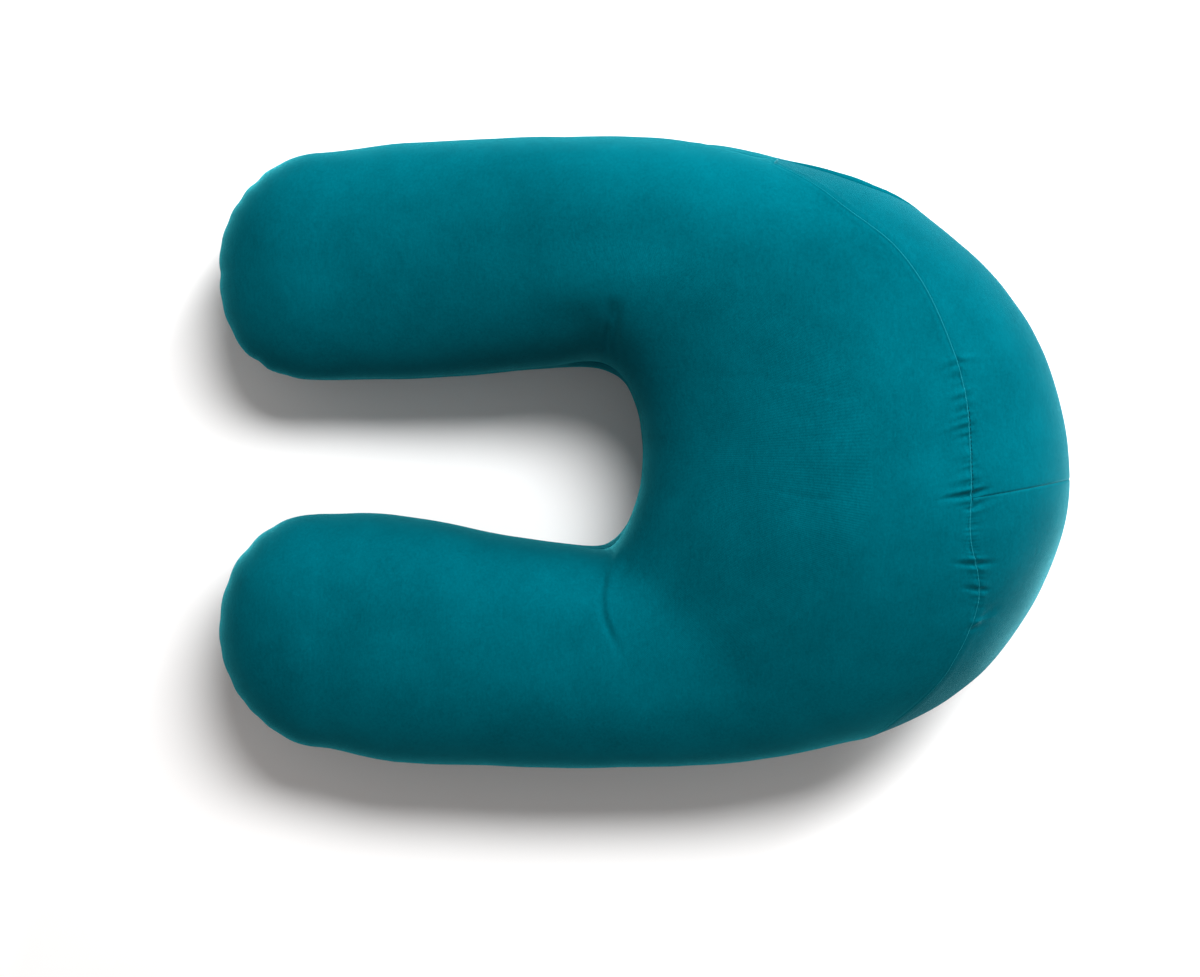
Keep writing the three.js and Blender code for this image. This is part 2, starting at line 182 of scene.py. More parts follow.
# The cloth and its sewing
CLOTH = 1.2
CLOTH_CLEARANCE = 0.15
PANEL_SEAM = {"depth": 1.4, "width": 1.0}
GUSSET_SEAM = {"depth": 0.7, "width": 0.5, "wall": 0.2}
SEAM_LIP = {"height": 0.5, "centre": 0.8, "width": 0.8}
# Painted highlight: where a lighter colour runs along the gusset's seams, standing in for their edges
# catching the light; its centre in mm off the seam towards the panel, and its width
PAINTED_EDGE_HIGHLIGHT = {"centre": 0.4, "width": 0.45}
GATHERING = {"height": 1.2, "width": 0.85, "fall": 1.4, "widening": 0.5}
RIPPLE = {"height": 0.22, "rate": 1.9, "waver": 2, "waver_rate": 0.31, "centre": 2.5, "width": 4}
RIPPLE_ENDS = {"lower": (-150, -120), "upper": (-90, -70)}
CROSS_SEAM_GROOVE = {"depth": 0.7, "width": 0.55}
ALLOWANCE = {"height": 0.3, "centre": 5.5, "width": 2.2}
PROUD_REACH = 30
SEAM_CALM = {"share": 0.85, "reach": 1.7}

# The dark lip beside the gusset's back seam, from one section number to another, and the cloth's
# bulge behind it
BACK_LIP = {"start": 5.9, "rise": 0.4, "end": 8.2, "fall": 1.0, "depth": 6.0, "width": 1.5}
BACK_LIP_BULGE = {"height": 1.5, "beyond": 5.5, "spread": 3.5}

# The stitches, and where their line runs beside the front seam: column is the one whose outward
# direction they take
STITCH = {"pitch": 3.7, "length": 2.6, "radius": 0.28, "bow": 0.25, "taper": 0.92, "rings": 5, "sides": 6}
STITCH_LINE = {"offset": 0.9, "from_y": 37, "to_y": -46, "column": FRONT_SEAM + 5}

# The stuffing's unevenness: pairs of waves that are multiplied, with their height, and for each
# wave how fast it turns along x, y and z, in radians a span
UNEVEN_SPAN = 100
UNEVEN_MEAN = 0.5
UNEVEN = table(
    "height first start second",
    [
        (0.9, (2.3, 1.1, 0), 0.7, (-1.3, 1.9, 0.4)),
        (0.32, (6.1, -2.2, 0), 1.9, (3.7, 5.3, 2.0)),
        (0.1, (13, 5, 0), 0, (-7, 11, 3)),
    ],
)

# The colours of the cloth and the thread, and what the cloth's sheen is like
PANEL_SHEEN = {"weight": 0.65, "tint": (0.1, 0.84, 0.95, 1)}
GUSSET_SHEEN = {"weight": 0.45, "tint": (0.24, 0.82, 0.93, 1)}
SHEEN_ROUGHNESS = 0.29
CLOTH_COLOURS = ((0, 0.062, 0.084, 1), (0, 0.104, 0.138, 1))
# Painted highlight: the lighter colour mixed in along the gusset's seams, and its share
PAINTED_HIGHLIGHT_COLOUR = {"share": 0.8, "colour": (0.01, 0.19, 0.24, 1)}
# The thread's teal, darker than the cloth's: partly its own colour, partly painted shade of the pits the
# stitches sink into
THREAD_AND_PIT_SHADE_COLOURS = ((0, 0.018, 0.024, 1), (0, 0.045, 0.058, 1))
THREAD = {"scale": 900, "distortion": 1, "gloss": 0.05, "roughness": 0.7, "varies": 0.2}
THREAD_RELIEF = {"Strength": 0.4, "Distance": 0.0001}

# The knit, in stitches a metre and as shares of the relief, and the noises of its nap: their
# scale, detail and distortion, whether they lean, and their shares of the colour and the relief
KNIT = {"per_metre": (1150, 900, 1), "slant": 0.35, "wales": 0.5, "courses": 0.35, "shade": 0.07}
NOISES = table(
    "name scale detail distortion leans colour relief",
    [
        ("broad", 9, 3, 0, False, 1.1, 0),
        ("patch", 30, 2, 0, False, 0.5, 0),
        ("mottle", 420, 3, 0, False, 0.6, 0.8),
        ("fluff", 2600, 2, 0, False, 0.4, 0.9),
        ("swirl", 150, 3, 2.5, False, 0.7, 1.2),
        ("brushed", 330, 2, 1.2, True, 0.7, 1.0),
    ],
)
NOISE_ROUGHNESS = 0.6
RAMP_MIDDLE = 0.5
LEAN = {"Rotation": (0, 0, 0.9), "Scale": (1, 0.3, 1)}
CLOTH_ROUGHNESS = {"noise": "mottle", "least": 0.8, "varies": 0.16}
CLOTH_RELIEF = {"Strength": 0.55, "Distance": 0.00012}

# The photograph's frame and light
PHOTO_WIDTH = 1200
PIXEL = 0.895
CENTRE_PIXEL = (600, 488.5)
ORIGIN_PIXEL = (643.5, 451.5)
WIDEST_LINE_HEIGHT = 105
CAMERA_HEIGHT = 2300
SENSOR = 36

# The floor and the lights, in metres and watts; each light's first size lies along the pillow
FLOOR = {"half": 7.0, "grain": 180, "detail": 2, "roughness": 0.9, "gloss": 0.1}
FLOOR_COLOURS = ((0.97, 0.97, 0.97, 1), (0.985, 0.985, 0.985, 1))
LIGHTS = table(
    "name towards distance size watts",
    [
        ("key", (0.72, 1.37, 2.7), 3.7, (2.26, 1.09), 157),
        ("side", (0.60, 0.76, 0.27), 4.0, (1.6, 1.6), 250),
    ],
)
FILL = {"Color": (1, 0.93, 0.9, 1), "Strength": 0.34}


def bell(distance, width):
    """1 at no distance, falling smoothly to about 0 at twice the width."""
    return np.exp(-((distance / width) ** 2))


def smooth(value, low, high):
    """0 below low and 1 above high, with a smooth rise between them."""
    t = np.clip((value - low) / (high - low), 0, 1)
    return t * t * (3 - 2 * t)


def between(column, u):
    """A column of SECTIONS as a smooth value between its rows; all but X are level at both ends."""
    values = np.array([row[column] for row in SECTIONS], float)
    k = np.clip(np.floor(u).astype(int), 0, LAST - 1)

    def value(n):
        inside = np.clip(n, 0, LAST)
        return values[inside if column.endswith("X") else 2 * inside - n]

    a, b, c, d = (value(k + n) for n in (-1, 0, 1, 2))
    t = u - k
    slope_b = (c - a) / 2
    slope_c = (d - b) / 2
    square = 3 * (c - b) - 2 * slope_b - slope_c
    cube = 2 * (b - c) + slope_b + slope_c
    return b + t * (slope_b + t * (square + t * cube))


def stations():
    """The section numbers at which the pillow is cut, with one on each end of the gusset's pieces."""
    cuts = [0.0]
    for row in STEPS:
        cuts += list(np.linspace(row["start"], row["end"], row["steps"] + 1)[1:])
    cuts = np.array(cuts)
    for target in (GUSSET_START, CROSS_SEAM, GUSSET_END):
        cuts[np.abs(cuts - target).argmin()] = target
    return cuts


def spine(u):
    """The middle of each section, where the pillow is highest."""
    def middle(v):
        x = (between("innerX", v) + between("outerX", v)) / 2
        y = (between("innerY", v) + between("outerY", v)) / 2
        return np.stack([x, y], -1)

    along = middle(np.minimum(u + HALF_A_SECTION, LAST)) - middle(np.maximum(u - HALF_A_SECTION, 0))
    along /= np.linalg.norm(along, axis=-1, keepdims=True)
    return middle(u) + along * between("lean", u)[:, None]


def side_ribs(u, side):
    """Ribs from the spine to the widest line, on one side."""
    outer = side == "outer"
    plain = np.full_like(u, SECTIONS[0]["front"], float)
    has_gusset = (u >= GUSSET_START) & (u <= GUSSET_END)
    return {
        "u": u,
        "root": spine(u),
        "edge": np.stack([between(side + "X", u), between(side + "Y", u)], -1),
        "crown": between("crown", u),
        "front": between("front", u) if outer else plain,
        "back": between("back", u) if outer else -plain,
        "proud": between("proud", u) if outer else plain * 0,
        "gusset": has_gusset if outer else has_gusset & False,
        "tuck": plain * 0,
        "spine": np.arange(len(u)),
    }


def tip_ribs(tip, spine_number):
    """Ribs that fan out round an arm's tip, from its outer side to its inner side."""
    u = np.zeros(1) if tip == "upper" else np.full(1, float(LAST))
    root = spine(u)
    half = np.linalg.norm(side_ribs(u, "outer")["edge"] - root)
    angles = np.linspace(0, 180, TIP_RIBS + 2)[1:-1]
    turn = np.radians(angles)
    power = np.where(angles < 90, TIP_BLUNTNESS[tip]["outer"], TIP_BLUNTNESS[tip]["inner"])
    along = np.abs(np.sin(turn) / TIP_REACH[tip])
    across = np.abs(np.cos(turn) / half)
    radius = (along**power + across**power) ** (-1 / power)
    side = 1 if tip == "upper" else -1
    edge = root + np.stack([-radius * np.sin(turn), side * radius * np.cos(turn)], -1)
    tucks = [row for row in TUCKS if row["tip"] == tip]
    tuck = sum(row["depth"] * bell(angles - row["angle"], row["width"]) for row in tucks)
    count = len(angles)
    plain = np.full(count, float(SECTIONS[0]["front"]))
    return {
        "u": np.repeat(u, count),
        "root": np.repeat(root, count, 0),
        "edge": edge,
        "crown": np.repeat(between("crown", u), count),
        "front": plain,
        "back": -plain,
        "proud": plain * 0,
        "gusset": np.zeros(count, bool),
        "tuck": tuck,
        "spine": np.full(count, spine_number),
    }


def all_ribs():
    """All ribs in order round the pillow."""
    u = stations()
    groups = [
        (side_ribs(u, "outer"), 1),
        (tip_ribs("lower", len(u) - 1), 1),
        (side_ribs(u, "inner"), -1),
        (tip_ribs("upper", 0), -1),
    ]
    return {key: np.concatenate([group[key][::step] for group, step in groups]) for key in groups[0][0]}


def rib_angles(ribs):
    """The angles of each rib's points: crowded to the gusset's seams, or to the panels' seam."""
    near = np.maximum(GUSSET_START - ribs["u"], ribs["u"] - GUSSET_END)
    outer = ribs["front"] != SECTIONS[0]["front"]
    to_panel_seam = np.where(ribs["gusset"] | outer, smooth(near, 0, CHANGE_OVER["crowding"]), 1)[:, None]

    def share(count):
        return np.arange(count)[None, :] / count

    def to_end(s):
        return 1 - np.maximum(1 - s, 0) ** CROWDING

    def to_ends(s):
        return np.where(s < 0.5, (2 * s) ** CROWDING / 2, 1 - (2 - 2 * s) ** CROWDING / 2)

    def to_middle(s):
        return np.where(s < 0.5, to_end(2 * s) / 2, 1 - to_end(2 - 2 * s) / 2)

    def mixed(s, at_gusset, at_panel_seam):
        return at_gusset(s) * (1 - to_panel_seam) + at_panel_seam(s) * to_panel_seam

    front = ribs["front"][:, None]
    back = ribs["back"][:, None]
    panel = 90 + (front - 90) * mixed(share(PANEL_COLUMNS), to_end, lambda s: s)
    middle = front + (back - front) * mixed(share(GUSSET_COLUMNS), to_ends, to_middle)
    behind = back + (-90 - back) * mixed(share(BACK_COLUMNS), lambda s: 1 - to_end(1 - s), lambda s: s)
    end = np.full_like(front, -90)
    return np.concatenate([panel, middle, behind, end], 1)


def round_form(ribs, angles):
    """The fat oval that the pillow follows, with each point's outward direction."""
    turn = np.radians(angles)
    out = np.maximum(np.cos(turn), 0) ** (2 / ROUNDNESS)
    up = np.sign(turn) * np.abs(np.sin(turn)) ** (2 / ROUNDNESS)
    rim = (ribs["crown"] * RIM_SHARE)[:, None]
    height = rim + up * np.where(up > 0, ribs["crown"][:, None] - rim, rim * BOTTOM_DEPTH)
    plan = ribs["root"][:, None] + (ribs["edge"] - ribs["root"])[:, None] * out[..., None]
    away = ribs["edge"] - ribs["root"]
    away /= np.linalg.norm(away, axis=1, keepdims=True)
    outward = np.concatenate(
        [away[:, None] * np.cos(turn)[..., None], np.sin(turn)[..., None]], 2
    )
    return np.concatenate([plan, height[..., None]], 2), outward


def distance_down(points):
    """How far down its rib each point lies."""
    steps = np.linalg.norm(np.diff(points, axis=1), axis=2)
    return np.concatenate([np.zeros((len(points), 1)), np.cumsum(steps, 1)], 1)


def distance_along(route, x, y):
    """The distance of points to a route, and how near its ends they are, from 0 to 1."""
    best = np.full(x.shape, np.inf)
    place = np.zeros(x.shape)
    lengths = [math.dist(a, b) for a, b in zip(route, route[1:])]
    done = 0.0
    for (ax, ay), (bx, by), length in zip(route, route[1:], lengths):
        t = np.clip(((x - ax) * (bx - ax) + (y - ay) * (by - ay)) / length**2, 0, 1)
        far = np.hypot(x - ax - t * (bx - ax), y - ay - t * (by - ay))
        closer = far < best
        best = np.where(closer, far, best)
        place = np.where(closer, (done + t * length) / sum(lengths), place)
        done += length
    return best, place


def creased(points, angles):
    """How deep the creases press the front in."""
    x, y = points[..., 0], points[..., 1]
    depth = np.zeros(x.shape)
    for crease in CREASES:
        far, place = distance_along(crease["route"], x, y)
        fade = smooth(place, *CREASE_FADES["start"]) * smooth(1 - place, *CREASE_FADES["end"])
        if crease["width"] > DIP_WIDTH:
            fade = 1
        depth += crease["depth"] * fade * bell(far, crease["width"])
    return depth * smooth(angles, *CREASE_FADES["angles"])


def hollowed(points, angles):
    """How deep the broad hollows lie below the plain round."""
    x, y = points[..., 0], points[..., 1]
    depth = np.zeros(x.shape)
    for row in HOLLOWS:
        depth += row["depth"] * bell(np.hypot(x - row["x"], y - row["y"]), row["width"])
    return depth * smooth(angles, *HOLLOW_ANGLES)


def gathered(ribs, points, from_seam):
    """The height of the gathers along the gusset's front seam."""
    seam_y = points[:, FRONT_SEAM, 1][:, None]
    height = np.zeros(from_seam.shape)
    for row in GATHERS:
        across = seam_y - row["seamY"] - row["slant"] * np.maximum(from_seam, 0)
        reach = np.where(from_seam < 0, row["panel"], row["gusset"])
        fade = np.maximum(1 - np.abs(from_seam) / reach, 0) ** GATHERING["fall"]
        widening = 1 + GATHERING["widening"] * np.abs(from_seam) / reach
        widened = row["width"] * GATHERING["width"] * widening
        height += row["height"] * GATHERING["height"] * fade * bell(across, widened)
    height *= 1 - SEAM_CALM["share"] * bell(from_seam, SEAM_CALM["reach"])
    wave = np.sin(seam_y * RIPPLE["rate"] + RIPPLE["waver"] * np.sin(seam_y * RIPPLE["waver_rate"]))
    ripple = wave * RIPPLE["height"] * bell(np.abs(from_seam) - RIPPLE["centre"], RIPPLE["width"])
    in_gathers = smooth(seam_y, *RIPPLE_ENDS["lower"]) * smooth(-seam_y, *RIPPLE_ENDS["upper"])
    return np.where(ribs["gusset"][:, None], height + ripple * in_gathers, 0)


def uneven(points):
    """The height of the stuffing's slight unevenness."""
    places = points / UNEVEN_SPAN
    height = np.zeros(points.shape[:2])
    for row in UNEVEN:
        first = np.sin(places @ row["first"] + row["start"])
        second = np.sin(places @ row["second"])
        height += row["height"] * first * second
    return height - UNEVEN_MEAN


def surface(ribs, angles):
    """The pillow's surface with its seams, gathers, creases and tucks, flat where it lies.

    Returns the points, how far down its rib each lies, and its share of the painted highlight along a
    seam's edge.
    """
    points, outward = round_form(ribs, angles)
    down = distance_down(points)
    from_front = down - down[:, [FRONT_SEAM]]
    from_back = down - down[:, [BACK_SEAM]]
    from_middle = down - down[:, [MIDDLE]]
    in_gusset = ribs["gusset"][:, None]
    beyond = np.maximum(GUSSET_START - ribs["u"], ribs["u"] - GUSSET_END)[:, None]
    drawn = SEAM_DRAW_IN * bell(from_middle, SEAM_DRAW_IN_REACH)
    drawn += PANEL_SEAM["depth"] * np.exp(-np.abs(from_middle) / PANEL_SEAM["width"])
    drawn += ribs["tuck"][:, None] * bell(angles, TUCK_SPREAD)
    plain_side = (ribs["proud"] == 0) & ~ribs["gusset"] & (ribs["front"] == SECTIONS[0]["front"])
    move = -drawn * np.where(plain_side[:, None], 1, smooth(beyond, 0, CHANGE_OVER["drawing_in"]))
    proud = ribs["proud"][:, None] * np.exp(-np.abs(from_front) / PROUD_REACH)
    for off in (from_front, -from_back):
        width = np.where(off < 0, GUSSET_SEAM["wall"], GUSSET_SEAM["width"])
        groove = GUSSET_SEAM["depth"] * np.exp(-np.abs(off) / width)
        raised = ALLOWANCE["height"] * bell(np.abs(off) - ALLOWANCE["centre"], ALLOWANCE["width"])
        raised += SEAM_LIP["height"] * bell(off + SEAM_LIP["centre"], SEAM_LIP["width"])
        move += np.where(in_gusset, raised - groove, 0)
    move += np.where(in_gusset, proud + gathered(ribs, points, from_front), proud)
    beside = smooth(ribs["u"] - BACK_LIP["start"], 0, BACK_LIP["rise"])
    beside *= smooth(BACK_LIP["end"] - ribs["u"], 0, BACK_LIP["fall"])
    notch = BACK_LIP["depth"] * np.exp(-np.abs(from_back) / BACK_LIP["width"])
    bulge = BACK_LIP_BULGE["height"] * bell(from_back - BACK_LIP_BULGE["beyond"], BACK_LIP_BULGE["spread"])
    move += np.where(in_gusset, (bulge - notch) * beside[:, None], 0)
    cross = np.abs(np.where(ribs["gusset"], ribs["u"], 0) - CROSS_SEAM).argmin()
    from_cross = np.linalg.norm(points - points[cross], axis=2)
    within = (down >= down[:, [FRONT_SEAM]]) & (down <= down[:, [BACK_SEAM]]) & in_gusset
    groove = CROSS_SEAM_GROOVE["depth"] * np.exp(-from_cross / CROSS_SEAM_GROOVE["width"])
    move -= np.where(within, groove, 0)
    move += uneven(points) - creased(points, angles)
    points = points + outward * move[..., None]
    points[..., 2] -= hollowed(points, angles)
    points[..., 2] = np.maximum(points[..., 2], 0)
    seams = (from_front, -from_back)
    # Painted highlight: where a lighter colour goes along the gusset's seams and, below the cross seam,
    # along that seam
    painted_highlight = sum(bell(off + PAINTED_EDGE_HIGHLIGHT["centre"], PAINTED_EDGE_HIGHLIGHT["width"]) for off in seams)
    below_cross = within & (ribs["u"] > CROSS_SEAM)[:, None]
    painted_highlight += np.where(below_cross, bell(from_cross - PAINTED_EDGE_HIGHLIGHT["centre"], PAINTED_EDGE_HIGHLIGHT["width"]), 0)
    return points, down, np.where(in_gusset, painted_highlight, 0)


def normals_of(points):
    """The outward direction at each point of the surface."""
    along = np.roll(points, -1, 0) - np.roll(points, 1, 0)
    down = np.empty_like(points)
    down[:, 1:-1] = points[:, 2:] - points[:, :-2]
    down[:, 0] = points[:, 1] - points[:, 0]
    down[:, -1] = points[:, -1] - points[:, -2]
    normals = np.cross(along, down)
    return normals / np.maximum(np.linalg.norm(normals, axis=2, keepdims=True), TINY)


class Skin:
    """Corners and faces of one piece, with flat cloth coordinates for each face's corners."""

    def __init__(self):
        self.corners = []
        self.painted_highlight = []
        self.faces = []
        self.cloth = []
        self.numbers = {}

    def corner(self, name, point, cloth):
        """A corner's number and its cloth values: along the cloth, down it, share of the painted edge
        highlight.
        """
        if name not in self.numbers:
            self.numbers[name] = len(self.corners)
            self.corners.append(point)
            self.painted_highlight.append(cloth[2])
        return self.numbers[name], cloth

    def face(self, *corners):
        """A face from corners given clockwise, seen from outside."""
        kept = [c for k, c in enumerate(corners) if c[0] != corners[k - 1][0]][::-1]
        if len(kept) > 2:
            self.faces.append([number for number, _ in kept])
            self.cloth.extend(cloth[:2] for _, cloth in kept)

    def piece(self, name, material):
        """The object that the corners and faces make."""
        mesh = bpy.data.meshes.new(name)
        places = (np.array(self.corners) - [*ORIGIN, 0]) * MM
        mesh.from_pydata(places.tolist(), [], self.faces)
        mesh.uv_layers.new(name="cloth").data.foreach_set("uv", (np.array(self.cloth, float) * MM).ravel())
        # The share of the painted edge highlight at each corner, for the material
        painted_highlight = mesh.attributes.new("painted_edge_highlight", "FLOAT", "POINT")
        painted_highlight.data.foreach_set("value", np.array(self.painted_highlight, float))
        mesh.shade_smooth()
        mesh.materials.append(material)
        mesh.validate()
        made = bpy.data.objects.new(name, mesh)
        bpy.context.scene.collection.objects.link(made)
        return made


def pillow_piece(ribs, points, normals, cloth, material):
    """The stuffed front and back panels, let in by the cloth's thickness under the gusset."""
    skin = Skin()
    count = len(points)
    last = points.shape[1] - 1
    covered = np.flatnonzero(ribs["gusset"])
    first_rib, last_rib = covered[0], covered[-1]
    sunk = points - normals * (CLOTH + CLOTH_CLEARANCE)
    top_names = [f"top {k}" for k in ribs["spine"]]
    bottom_names = [f"bottom {k}" for k in ribs["spine"]]

    def at_surface(i, j):
        rib = i % count
        name = top_names[rib] if j == 0 else bottom_names[rib] if j == last else (rib, j)
        return skin.corner(name, points[rib, j], cloth[i, j])

    def under_gusset(i, j):
        return skin.corner((i, j, "sunk"), sunk[i, j], cloth[i, j])

    for i in range(count):
        for j in range(last):
            inside = first_rib <= i < last_rib and FRONT_SEAM <= j < BACK_SEAM
            at = under_gusset if inside else at_surface
            skin.face(at(i, j), at(i, j + 1), at(i + 1, j + 1), at(i + 1, j))
    for i in range(first_rib, last_rib):
        for j, wall in ((FRONT_SEAM, 1), (BACK_SEAM, -1)):
            ring = [at_surface(i, j), under_gusset(i, j), under_gusset(i + 1, j), at_surface(i + 1, j)]
            skin.face(*ring[::wall])
    for j in range(FRONT_SEAM, BACK_SEAM):
        for i, wall in ((first_rib, 1), (last_rib, -1)):
            ring = [at_surface(i, j), at_surface(i, j + 1), under_gusset(i, j + 1), under_gusset(i, j)]
            skin.face(*ring[::wall])
    return skin.piece("pillow", material)


def gusset_piece(name, points, normals, cloth, first, last, material):
    """One piece of the gusset, a cloth's thickness deep, with its flat width, length and area."""
    skin = Skin()
    inner = points - normals * CLOTH

    def outside(i, j):
        return skin.corner((i, j, "out"), points[i, j], cloth[i, j])

    def inside(i, j):
        return skin.corner((i, j, "in"), inner[i, j], cloth[i, j])

    for i in range(first, last):
        for j in range(FRONT_SEAM, BACK_SEAM):
            skin.face(outside(i, j), outside(i, j + 1), outside(i + 1, j + 1), outside(i + 1, j))
            skin.face(inside(i, j), inside(i + 1, j), inside(i + 1, j + 1), inside(i, j + 1))
        for j, wall in ((FRONT_SEAM, 1), (BACK_SEAM, -1)):
            ring = [outside(i, j), outside(i + 1, j), inside(i + 1, j), inside(i, j)]
            skin.face(*ring[::wall])
    for j in range(FRONT_SEAM, BACK_SEAM):
        for i, wall in ((first, 1), (last, -1)):
            ring = [inside(i, j), inside(i, j + 1), outside(i, j + 1), outside(i, j)]
            skin.face(*ring[::wall])
    made = skin.piece(name, material)
    flat = points[first : last + 1, FRONT_SEAM : BACK_SEAM + 1]
    across = np.linalg.norm(np.diff(flat, axis=1), axis=2)
    along = np.linalg.norm(np.diff(flat, axis=0), axis=2)
    area = ((across[1:] + across[:-1]) / 2 * (along[:, 1:] + along[:, :-1]) / 2).sum() * MM**2
    width = across.sum(1).max() * MM
    length = along[:, along.shape[1] // 2].sum() * MM
    return made, (width, length), area


def stitches_piece(points, down, normals, ribs, material):
    """Short threads of the seam on the gusset's side, where they show."""
    rows = np.flatnonzero(ribs["gusset"])
    line = np.empty((len(rows), 3))
    for place, row in enumerate(rows):
        at = down[row, FRONT_SEAM] + STITCH_LINE["offset"]
        line[place] = [np.interp(at, down[row], points[row, :, k]) for k in range(3)]
    up = normals[rows, STITCH_LINE["column"]]
    shown = (line[:, 1] < STITCH_LINE["from_y"]) & (line[:, 1] > STITCH_LINE["to_y"])
    line, up = line[shown], up[shown]
    run = np.concatenate([[0], np.cumsum(np.linalg.norm(np.diff(line, axis=0), axis=1))])
    skin = Skin()
    rings, sides = STITCH["rings"], STITCH["sides"]

    def read(values, at):
        return np.array([np.interp(at, run, values[:, k]) for k in range(3)])

    for number in range(int(run[-1] / STITCH["pitch"])):
        middle = (number + 0.5) * STITCH["pitch"]
        lift = read(up, middle)
        along = read(line, middle + 1) - read(line, middle - 1)
        side = np.cross(along / np.linalg.norm(along), lift)
        made = {}
        for ring in range(rings):
            t = ring / (rings - 1) * 2 - 1
            place = read(line, middle + t * STITCH["length"] / 2)
            fat = STITCH["radius"] * math.sqrt(max(1 - (t * STITCH["taper"]) ** 2, 0))
            bow = STITCH["bow"] * (1 - t * t)
            for k in range(sides):
                turn = 2 * math.pi * k / sides
                point = place + side * fat * math.cos(turn) + lift * (fat * math.sin(turn) + bow)
                made[ring, k] = skin.corner((number, ring, k), point, (middle + t, k, 0))
        for ring in range(rings - 1):
            for k in range(sides):
                after = (k + 1) % sides
                skin.face(made[ring, k], made[ring, after], made[ring + 1, after], made[ring + 1, k])
        skin.face(*[made[0, k] for k in reversed(range(sides))])
        skin.face(*[made[rings - 1, k] for k in range(sides)])
    return skin.piece("seam_stitches", material)


class Nodes:
    """A material's nodes, made and linked by short calls."""

    def __init__(self, name):
        self.material = bpy.data.materials.new(name)
        self.material.use_nodes = True
        self.tree = self.material.node_tree
        self.shader = next(n for n in self.tree.nodes if n.type == "BSDF_PRINCIPLED")

    def add(self, kind, inputs=(), **settings):
        node = self.tree.nodes.new("ShaderNode" + kind)
        for key, value in settings.items():
            setattr(node, key, value)
        for socket, value in dict(inputs).items():
            self.feed(node.inputs[socket], value)
        return node

    def feed(self, socket, value):
        if isinstance(value, bpy.types.NodeSocket):
            self.tree.links.new(value, socket)
        else:
            socket.default_value = value

    def math(self, operation, a, b=0.0, c=0.0):
        return self.add("Math", {0: a, 1: b, 2: c}, operation=operation).outputs[0]

    def uv(self):
        return self.add("UVMap", uv_map="cloth").outputs["UV"]

    def ramp(self, factor, colours):
        """A colour that runs from the first colour to the second one."""
        ramp = self.add("ValToRGB", {"Fac": factor})
        for element, colour in zip(ramp.color_ramp.elements, colours):
            element.color = colour
        return ramp.outputs["Color"]

    def relief(self, height, settings):
        """Bumps of a height, in the shader's normal."""
        bump = self.add("Bump", {"Height": height, **settings})
        self.feed(self.shader.inputs["Normal"], bump.outputs["Normal"])


def knitted(nodes):
    """The height of the knit's wales and slanting courses."""
    counted = nodes.add("VectorMath", {0: nodes.uv(), 1: KNIT["per_metre"]}, operation="MULTIPLY")
    split = nodes.add("SeparateXYZ", {"Vector": counted.outputs[0]})
    wale = nodes.math("SINE", nodes.math("MULTIPLY", split.outputs["X"], math.tau))
    slant = nodes.math("MULTIPLY", nodes.math("ABSOLUTE", wale), KNIT["slant"])
    slanted = nodes.math("ADD", split.outputs["Y"], slant)
    course = nodes.math("SINE", nodes.math("MULTIPLY", slanted, math.tau))
    return nodes.math("MULTIPLY_ADD", wale, KNIT["wales"], nodes.math("MULTIPLY", course, KNIT["courses"]))


def cloth_material(name, sheen):
    """Plain teal stretch knit: fine wales and courses, a soft nap, slightly mottled colour and a lighter
    colour painted along the seams' edges as a highlight.
    """
    nodes = Nodes(name)
    place = nodes.add("TexCoord").outputs["Object"]
    leaning = nodes.add("Mapping", {"Vector": place, **LEAN}).outputs[0]
    noises = {}
    for row in NOISES:
        settings = {"Vector": leaning if row["leans"] else place, "Roughness": NOISE_ROUGHNESS}
        settings |= {"Scale": row["scale"], "Detail": row["detail"], "Distortion": row["distortion"]}
        noises[row["name"]] = nodes.add("TexNoise", settings).outputs["Fac"]
    knit = knitted(nodes)
    shade = nodes.math("MULTIPLY_ADD", knit, KNIT["shade"], RAMP_MIDDLE)
    height = knit
    for row in NOISES:
        noise = noises[row["name"]]
        centred = nodes.math("MULTIPLY_ADD", noise, row["colour"], -row["colour"] / 2)
        shade = nodes.math("ADD", shade, centred)
        if row["relief"]:
            height = nodes.math("MULTIPLY_ADD", noise, row["relief"], height)
    # Painted highlight: a lighter colour mixed in along the seams' edges
    highlight_share = nodes.add("Attribute", attribute_name="painted_edge_highlight").outputs["Fac"]
    factor, plain, painted_highlight = 0, 6, 7
    colours = {
        factor: nodes.math("MULTIPLY", highlight_share, PAINTED_HIGHLIGHT_COLOUR["share"]),
        plain: nodes.ramp(shade, CLOTH_COLOURS),
        painted_highlight: PAINTED_HIGHLIGHT_COLOUR["colour"],
    }
    mixed = nodes.add("Mix", colours, data_type="RGBA").outputs[2]
    rough = noises[CLOTH_ROUGHNESS["noise"]]
    rough = nodes.math("MULTIPLY_ADD", rough, CLOTH_ROUGHNESS["varies"], CLOTH_ROUGHNESS["least"])
    nodes.feed(nodes.shader.inputs["Base Color"], mixed)
    nodes.feed(nodes.shader.inputs["Roughness"], rough)
    nodes.relief(height, CLOTH_RELIEF)
    nodes.shader.inputs["Specular IOR Level"].default_value = 0
    nodes.shader.inputs["Sheen Weight"].default_value = sheen["weight"]
    nodes.shader.inputs["Sheen Roughness"].default_value = SHEEN_ROUGHNESS
    nodes.shader.inputs["Sheen Tint"].default_value = sheen["tint"]
    return nodes.material


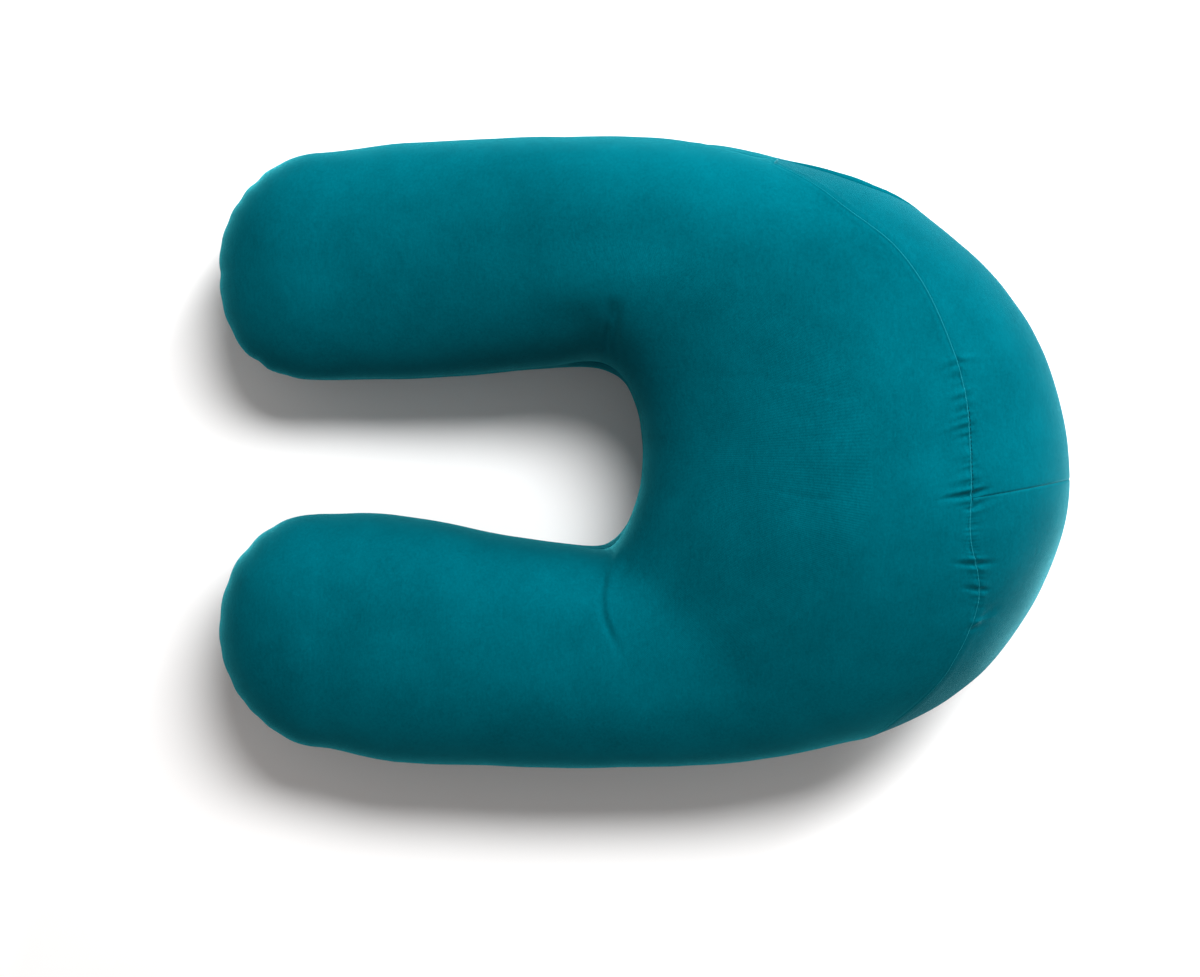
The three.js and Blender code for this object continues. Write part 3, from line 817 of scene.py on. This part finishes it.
def thread_material():
    """Teal sewing thread with its twist, darker than the cloth: partly its own colour, partly painted
    shade of the stitches' pits.
    """
    nodes = Nodes("seam_thread")
    settings = {"Vector": nodes.uv(), "Scale": THREAD["scale"], "Distortion": THREAD["distortion"]}
    twist = nodes.add("TexWave", settings, bands_direction="DIAGONAL").outputs["Fac"]
    rough = nodes.math("MULTIPLY_ADD", twist, THREAD["varies"], THREAD["roughness"])
    # Partly painted shade: the thread's colour is darkened for the stitches' pits
    nodes.feed(nodes.shader.inputs["Base Color"], nodes.ramp(twist, THREAD_AND_PIT_SHADE_COLOURS))
    nodes.feed(nodes.shader.inputs["Roughness"], rough)
    nodes.relief(twist, THREAD_RELIEF)
    nodes.shader.inputs["Specular IOR Level"].default_value = THREAD["gloss"]
    return nodes.material


def floor():
    """The plain pale surface under the pillow."""
    half = FLOOR["half"]
    corners = [(-half, -half, 0), (half, -half, 0), (half, half, 0), (-half, half, 0)]
    mesh = bpy.data.meshes.new("floor")
    mesh.from_pydata(corners, [], [(0, 1, 2, 3)])
    nodes = Nodes("floor")
    grain = nodes.add("TexNoise", {"Scale": FLOOR["grain"], "Detail": FLOOR["detail"]}).outputs["Fac"]
    nodes.feed(nodes.shader.inputs["Base Color"], nodes.ramp(grain, FLOOR_COLOURS))
    nodes.shader.inputs["Roughness"].default_value = FLOOR["roughness"]
    nodes.shader.inputs["Specular IOR Level"].default_value = FLOOR["gloss"]
    mesh.materials.append(nodes.material)
    made = bpy.data.objects.new("floor", mesh)
    bpy.context.scene.collection.objects.link(made)


def area_light(name, towards, distance, size, watts):
    """A soft light that shines on the pillow from a direction, its first size along the pillow."""
    light = bpy.data.lights.new(name, "AREA")
    light.shape = "ELLIPSE"
    light.size, light.size_y = size
    light.energy = watts
    made = bpy.data.objects.new(name, light)
    back = Vector(towards).normalized()
    up = back.cross(Vector((1, 0, 0))).normalized()
    turn = Matrix((up.cross(back), up, back)).transposed()
    made.matrix_world = Matrix.Translation(back * distance) @ turn.to_4x4()
    bpy.context.scene.collection.objects.link(made)


def lights():
    """A soft key light from the photograph's upper right, a low one beside it, and pale fill."""
    for row in LIGHTS:
        area_light(**row)
    world = bpy.data.worlds.new("studio")
    world.use_nodes = True
    for socket, value in FILL.items():
        world.node_tree.nodes["Background"].inputs[socket].default_value = value
    bpy.context.scene.world = world


def camera():
    """The camera straight above the middle of the photograph's frame."""
    lens = bpy.data.cameras.new("camera")
    lens.sensor_width = SENSOR
    lens.lens = SENSOR * (CAMERA_HEIGHT - WIDEST_LINE_HEIGHT) / (PHOTO_WIDTH * PIXEL)
    made = bpy.data.objects.new("camera", lens)
    x = (CENTRE_PIXEL[0] - ORIGIN_PIXEL[0]) * PIXEL - ORIGIN[0]
    y = (ORIGIN_PIXEL[1] - CENTRE_PIXEL[1]) * PIXEL - ORIGIN[1]
    made.location = (x * MM, y * MM, CAMERA_HEIGHT * MM)
    bpy.context.scene.collection.objects.link(made)
    bpy.context.scene.camera = made
    bpy.context.scene.view_settings.view_transform = "Standard"


def pillow():
    """All pieces of the pillow, with what each stands for."""
    ribs = all_ribs()
    angles = rib_angles(ribs)
    points, down, painted_highlight = surface(ribs, angles)
    normals = normals_of(points)
    loop = np.concatenate([points[:, MIDDLE], points[:1, MIDDLE]])
    along = np.concatenate([[0], np.cumsum(np.linalg.norm(np.diff(loop, axis=0), axis=1))])
    down, painted_highlight = (np.concatenate([part, part[:1]]) for part in (down, painted_highlight))
    # Cloth values: along the cloth, down it, and the share of the painted edge highlight
    cloth = np.stack([np.repeat(along[:, None], points.shape[1], 1), down, painted_highlight], 2)
    panel_cloth = cloth_material("panel_cloth", PANEL_SHEEN)
    gusset_cloth = cloth_material("gusset_cloth", GUSSET_SHEEN)
    body = pillow_piece(ribs, points, normals, cloth, panel_cloth)
    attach(body, "root")
    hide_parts("pillow_body")
    covered = np.flatnonzero(ribs["gusset"])
    cross = covered[np.abs(ribs["u"][covered] - CROSS_SEAM).argmin()]
    for name, first, last in (("gusset_upper", covered[0], cross), ("gusset_lower", cross, covered[-1])):
        made, flat, area = gusset_piece(
            name + "_cloth", points, normals, cloth[..., [1, 0, 2]], first, last, gusset_cloth
        )
        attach(made, "root")
        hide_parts(name)
    stitches = stitches_piece(points, down, normals, ribs, thread_material())
    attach(stitches, "root")


floor()
lights()
camera()
pillow()
